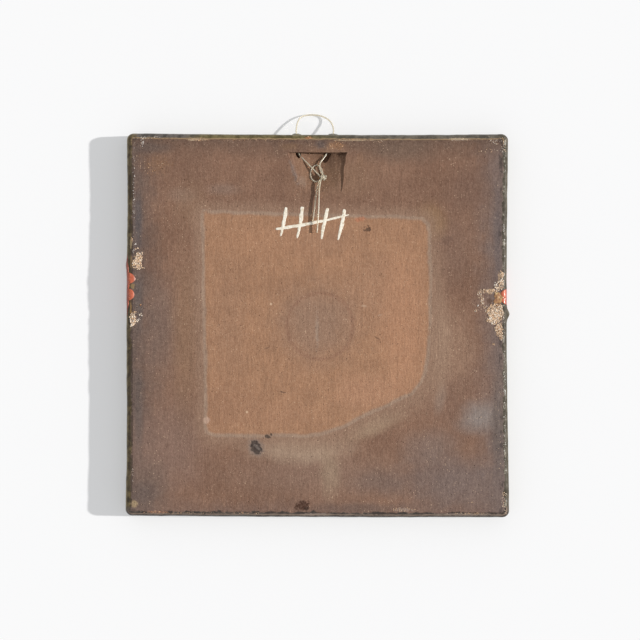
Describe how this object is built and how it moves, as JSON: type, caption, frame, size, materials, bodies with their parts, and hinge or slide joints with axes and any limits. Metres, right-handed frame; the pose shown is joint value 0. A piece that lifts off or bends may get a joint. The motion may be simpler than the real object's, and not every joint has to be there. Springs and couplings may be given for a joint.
{
  "type": "ceramic wall tile",
  "caption": "Square handmade stoneware wall tile with a glazed front, a bare clay back, a hanging recess and a knotted nylon hanging line",
  "frame": {"origin": "centre of the tile's outline, on the plane of its glazed front, on which it lies", "axes": "+Z out of the bare back, through the thickness; +Y towards the edge that hangs uppermost; +X to the right as the back is seen"},
  "size_m": [0.2018, 0.2132, 0.0145],
  "materials": {
    "stoneware": "matt fired clay with grog",
    "glaze": "glossy",
    "paint": "matt brush paint",
    "nylon": "clear, glossy"
  },
  "bodies": {
    "root": {"wall_tile": "stoneware", "hanging_line": "nylon", "line_long_tail": "nylon", "line_short_tail": "nylon", "line_knot": "nylon"}
  },
  "joints": []
}
